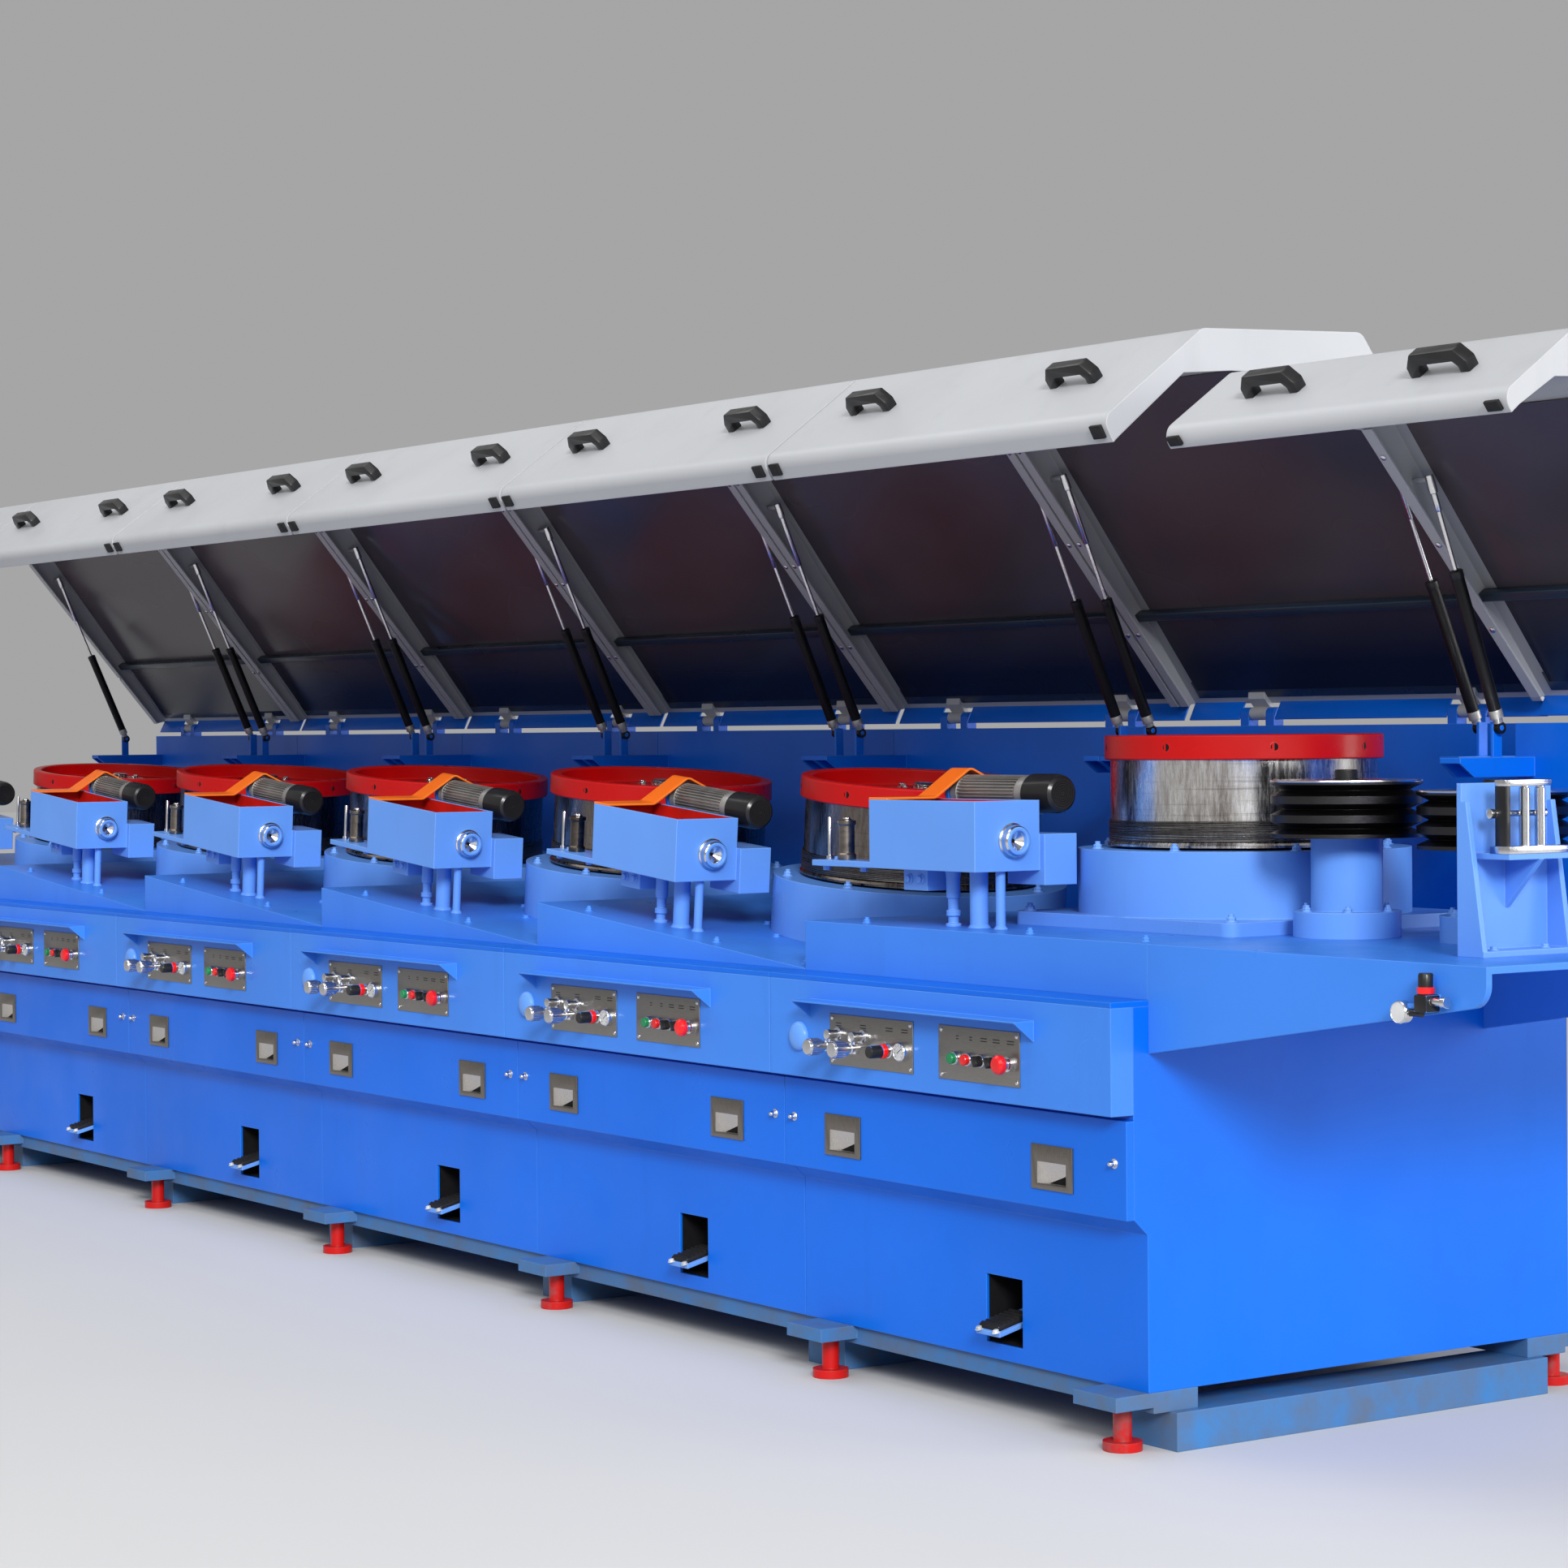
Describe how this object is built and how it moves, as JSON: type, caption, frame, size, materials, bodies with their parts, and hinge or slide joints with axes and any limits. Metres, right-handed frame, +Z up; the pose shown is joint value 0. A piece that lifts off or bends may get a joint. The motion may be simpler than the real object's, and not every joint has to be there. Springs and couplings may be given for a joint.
{
  "type": "wire drawing machine",
  "caption": "Straight-line wire drawing machine: blue bays with powered blocks, die boxes and foot pedals under hinged grey lids on gas struts, ending in an exit shelf with sheaves.",
  "frame": {"origin": "on the floor under the middle of the middle cross skid", "axes": "+X along the machine towards the exit shelf, +Y to the rear walls, +Z up"},
  "size_m": [8.6415, 1.516, 2.3579],
  "materials": {
    "frame_blue": "dirty gloss paint",
    "cabinet_blue": "gloss paint",
    "deck_blue": "gloss paint",
    "pale_blue": "gloss paint",
    "block_steel": "polished",
    "lid_grey": "satin paint",
    "smoked_window": "smoked gloss",
    "strut_black": "gloss paint",
    "bright_metal": "polished",
    "motor_silver": "satin",
    "jack_red": "worn gloss paint",
    "guard_orange": "gloss paint",
    "sheave_black": "satin black"
  },
  "bodies": {
    "machine": {"skids": "frame_blue", "base_frame": "frame_blue", "jack_feet": "jack_red", "bay_cabinets": "cabinet_blue", "cover_panels": "cabinet_blue", "control_consoles": "cabinet_blue", "table_plates": "cabinet_blue", "decks": "deck_blue", "block_pedestals": "pale_blue", "die_boxes": "pale_blue", "die_rings": "bright_metal", "stirrer_motors": "motor_silver", "rear_walls": "cabinet_blue", "exit_shelf": "cabinet_blue", "sheave_stands": "pale_blue", "exit_bracket": "cabinet_blue", "guide_rollers": "bright_metal", "belt_guards": "guard_orange"},
    "block_1": {"block_1": "block_steel"},
    "block_2": {"block_2": "block_steel"},
    "block_3": {"block_3": "block_steel"},
    "block_4": {"block_4": "block_steel"},
    "block_5": {"block_5": "block_steel"},
    "block_6": {"block_6": "block_steel"},
    "sheave_1": {"sheave_1": "sheave_black"},
    "sheave_2": {"sheave_2": "sheave_black"},
    "pedal_1": {"pedal_1": "bright_metal"},
    "pedal_2": {"pedal_2": "bright_metal"},
    "pedal_3": {"pedal_3": "bright_metal"},
    "pedal_4": {"pedal_4": "bright_metal"},
    "pedal_5": {"pedal_5": "bright_metal"},
    "pedal_6": {"pedal_6": "bright_metal"},
    "lid_1": {"lid_1": "lid_grey", "window_1": "smoked_window"},
    "strut_barrels_1": {"strut_barrels_1": "strut_black"},
    "strut_rods_1": {"strut_rods_1": "bright_metal"},
    "lid_2": {"lid_2": "lid_grey", "window_2": "smoked_window"},
    "strut_barrels_2": {"strut_barrels_2": "strut_black"},
    "strut_rods_2": {"strut_rods_2": "bright_metal"},
    "lid_3": {"lid_3": "lid_grey", "window_3": "smoked_window"},
    "strut_barrels_3": {"strut_barrels_3": "strut_black"},
    "strut_rods_3": {"strut_rods_3": "bright_metal"},
    "lid_4": {"lid_4": "lid_grey", "window_4": "smoked_window"},
    "strut_barrels_4": {"strut_barrels_4": "strut_black"},
    "strut_rods_4": {"strut_rods_4": "bright_metal"},
    "lid_5": {"lid_5": "lid_grey", "window_5": "smoked_window"},
    "strut_barrels_5": {"strut_barrels_5": "strut_black"},
    "strut_rods_5": {"strut_rods_5": "bright_metal"},
    "lid_6": {"lid_6": "lid_grey", "window_6": "smoked_window"},
    "strut_barrels_6": {"strut_barrels_6": "strut_black"},
    "strut_rods_6": {"strut_rods_6": "bright_metal"},
    "lid_exit": {"lid_exit": "lid_grey", "window_exit": "smoked_window"},
    "strut_barrels_exit": {"strut_barrels_exit": "strut_black"},
    "strut_rods_exit": {"strut_rods_exit": "bright_metal"}
  },
  "joints": [
    {"name": "block_1_turn", "type": "hinge", "parent": "machine", "child": "block_1", "pos_m": [3.335, 0.02, 1.259], "axis": [0, 0, 1], "continuous": true},
    {"name": "block_2_turn", "type": "hinge", "parent": "machine", "child": "block_2", "pos_m": [2.10469, 0.02, 1.18255], "axis": [0.09, 0, 0.9959], "continuous": true},
    {"name": "block_3_turn", "type": "hinge", "parent": "machine", "child": "block_3", "pos_m": [0.85469, 0.02, 1.18255], "axis": [0.09, 0, 0.9959], "continuous": true},
    {"name": "block_4_turn", "type": "hinge", "parent": "machine", "child": "block_4", "pos_m": [-0.39531, 0.02, 1.18255], "axis": [0.09, 0, 0.9959], "continuous": true},
    {"name": "block_5_turn", "type": "hinge", "parent": "machine", "child": "block_5", "pos_m": [-1.64531, 0.02, 1.18255], "axis": [0.09, 0, 0.9959], "continuous": true},
    {"name": "block_6_turn", "type": "hinge", "parent": "machine", "child": "block_6", "pos_m": [-2.89531, 0.02, 1.18255], "axis": [0.09, 0, 0.9959], "continuous": true},
    {"name": "sheave_1_turn", "type": "hinge", "parent": "machine", "child": "sheave_1", "pos_m": [3.842, -0.142, 1.33], "axis": [0, 0, 1], "continuous": true},
    {"name": "sheave_2_turn", "type": "hinge", "parent": "machine", "child": "sheave_2", "pos_m": [4.195, -0.06, 1.33], "axis": [0, 0, 1], "continuous": true},
    {"name": "pedal_1_press", "type": "hinge", "parent": "machine", "child": "pedal_1", "pos_m": [3.263, -0.43, 0.238], "axis": [1, 0, 0], "range_deg": [0, 8], "stiffness_Nm_per_rad": 20, "springref_deg": -11.46},
    {"name": "pedal_2_press", "type": "hinge", "parent": "machine", "child": "pedal_2", "pos_m": [2.013, -0.43, 0.238], "axis": [1, 0, 0], "range_deg": [0, 8], "stiffness_Nm_per_rad": 20, "springref_deg": -11.46},
    {"name": "pedal_3_press", "type": "hinge", "parent": "machine", "child": "pedal_3", "pos_m": [0.763, -0.43, 0.238], "axis": [1, 0, 0], "range_deg": [0, 8], "stiffness_Nm_per_rad": 20, "springref_deg": -11.46},
    {"name": "pedal_4_press", "type": "hinge", "parent": "machine", "child": "pedal_4", "pos_m": [-0.487, -0.43, 0.238], "axis": [1, 0, 0], "range_deg": [0, 8], "stiffness_Nm_per_rad": 20, "springref_deg": -11.46},
    {"name": "pedal_5_press", "type": "hinge", "parent": "machine", "child": "pedal_5", "pos_m": [-1.737, -0.43, 0.238], "axis": [1, 0, 0], "range_deg": [0, 8], "stiffness_Nm_per_rad": 20, "springref_deg": -11.46},
    {"name": "pedal_6_press", "type": "hinge", "parent": "machine", "child": "pedal_6", "pos_m": [-2.987, -0.43, 0.238], "axis": [1, 0, 0], "range_deg": [0, 8], "stiffness_Nm_per_rad": 20, "springref_deg": -11.46},
    {"name": "lid_1_close", "type": "hinge", "parent": "machine", "child": "lid_1", "pos_m": [3.125, 0.59, 1.54], "axis": [1, 0, 0], "range_deg": [0, 47.7]},
    {"name": "strut_barrels_1_swing", "type": "hinge", "parent": "machine", "child": "strut_barrels_1", "pos_m": [3.125, 0.405, 1.5], "axis": [1, 0, 0], "range_deg": [-0.1, 56.85]},
    {"name": "strut_rods_1_slide", "type": "slide", "parent": "strut_barrels_1", "child": "strut_rods_1", "axis": [0, 0.4028, -0.9153], "range_m": [-0.0002, 0.11794]},
    {"name": "lid_2_close", "type": "hinge", "parent": "machine", "child": "lid_2", "pos_m": [1.875, 0.59, 1.54], "axis": [1, 0, 0], "range_deg": [0, 47.7]},
    {"name": "strut_barrels_2_swing", "type": "hinge", "parent": "machine", "child": "strut_barrels_2", "pos_m": [1.875, 0.405, 1.5], "axis": [1, 0, 0], "range_deg": [-0.1, 56.85]},
    {"name": "strut_rods_2_slide", "type": "slide", "parent": "strut_barrels_2", "child": "strut_rods_2", "axis": [0, 0.4028, -0.9153], "range_m": [-0.0002, 0.11794]},
    {"name": "lid_3_close", "type": "hinge", "parent": "machine", "child": "lid_3", "pos_m": [0.625, 0.59, 1.54], "axis": [1, 0, 0], "range_deg": [0, 47.7]},
    {"name": "strut_barrels_3_swing", "type": "hinge", "parent": "machine", "child": "strut_barrels_3", "pos_m": [0.625, 0.405, 1.5], "axis": [1, 0, 0], "range_deg": [-0.1, 56.85]},
    {"name": "strut_rods_3_slide", "type": "slide", "parent": "strut_barrels_3", "child": "strut_rods_3", "axis": [0, 0.4028, -0.9153], "range_m": [-0.0002, 0.11794]},
    {"name": "lid_4_close", "type": "hinge", "parent": "machine", "child": "lid_4", "pos_m": [-0.625, 0.59, 1.54], "axis": [1, 0, 0], "range_deg": [0, 47.7]},
    {"name": "strut_barrels_4_swing", "type": "hinge", "parent": "machine", "child": "strut_barrels_4", "pos_m": [-0.625, 0.405, 1.5], "axis": [1, 0, 0], "range_deg": [-0.1, 56.85]},
    {"name": "strut_rods_4_slide", "type": "slide", "parent": "strut_barrels_4", "child": "strut_rods_4", "axis": [0, 0.4028, -0.9153], "range_m": [-0.0002, 0.11794]},
    {"name": "lid_5_close", "type": "hinge", "parent": "machine", "child": "lid_5", "pos_m": [-1.875, 0.59, 1.54], "axis": [1, 0, 0], "range_deg": [0, 47.7]},
    {"name": "strut_barrels_5_swing", "type": "hinge", "parent": "machine", "child": "strut_barrels_5", "pos_m": [-1.875, 0.405, 1.5], "axis": [1, 0, 0], "range_deg": [-0.1, 56.85]},
    {"name": "strut_rods_5_slide", "type": "slide", "parent": "strut_barrels_5", "child": "strut_rods_5", "axis": [0, 0.4028, -0.9153], "range_m": [-0.0002, 0.11794]},
    {"name": "lid_6_close", "type": "hinge", "parent": "machine", "child": "lid_6", "pos_m": [-3.125, 0.59, 1.54], "axis": [1, 0, 0], "range_deg": [0, 47.7]},
    {"name": "strut_barrels_6_swing", "type": "hinge", "parent": "machine", "child": "strut_barrels_6", "pos_m": [-3.125, 0.405, 1.5], "axis": [1, 0, 0], "range_deg": [-0.1, 56.85]},
    {"name": "strut_rods_6_slide", "type": "slide", "parent": "strut_barrels_6", "child": "strut_rods_6", "axis": [0, 0.4028, -0.9153], "range_m": [-0.0002, 0.11794]},
    {"name": "lid_exit_close", "type": "hinge", "parent": "machine", "child": "lid_exit", "pos_m": [4.4005, 0.352, 1.54], "axis": [1, 0, 0], "range_deg": [0, 49.5]},
    {"name": "strut_barrels_exit_swing", "type": "hinge", "parent": "machine", "child": "strut_barrels_exit", "pos_m": [4.4005, 0.167, 1.5], "axis": [1, 0, 0], "range_deg": [-0.1, 61.14]},
    {"name": "strut_rods_exit_slide", "type": "slide", "parent": "strut_barrels_exit", "child": "strut_rods_exit", "axis": [0, 0.3601, -0.9329], "range_m": [-0.0002, 0.12324]}
  ],
  "couplings": [
    {"joint": "strut_barrels_1_swing", "follows": "lid_1_close", "ratio": 1.1897},
    {"joint": "strut_rods_1_slide", "follows": "lid_1_close", "m_per_rad": 0.14143},
    {"joint": "strut_barrels_2_swing", "follows": "lid_2_close", "ratio": 1.1897},
    {"joint": "strut_rods_2_slide", "follows": "lid_2_close", "m_per_rad": 0.14143},
    {"joint": "strut_barrels_3_swing", "follows": "lid_3_close", "ratio": 1.1897},
    {"joint": "strut_rods_3_slide", "follows": "lid_3_close", "m_per_rad": 0.14143},
    {"joint": "strut_barrels_4_swing", "follows": "lid_4_close", "ratio": 1.1897},
    {"joint": "strut_rods_4_slide", "follows": "lid_4_close", "m_per_rad": 0.14143},
    {"joint": "strut_barrels_5_swing", "follows": "lid_5_close", "ratio": 1.1897},
    {"joint": "strut_rods_5_slide", "follows": "lid_5_close", "m_per_rad": 0.14143},
    {"joint": "strut_barrels_6_swing", "follows": "lid_6_close", "ratio": 1.1897},
    {"joint": "strut_rods_6_slide", "follows": "lid_6_close", "m_per_rad": 0.14143},
    {"joint": "strut_barrels_exit_swing", "follows": "lid_exit_close", "ratio": 1.2331},
    {"joint": "strut_rods_exit_slide", "follows": "lid_exit_close", "m_per_rad": 0.14242}
  ]
}
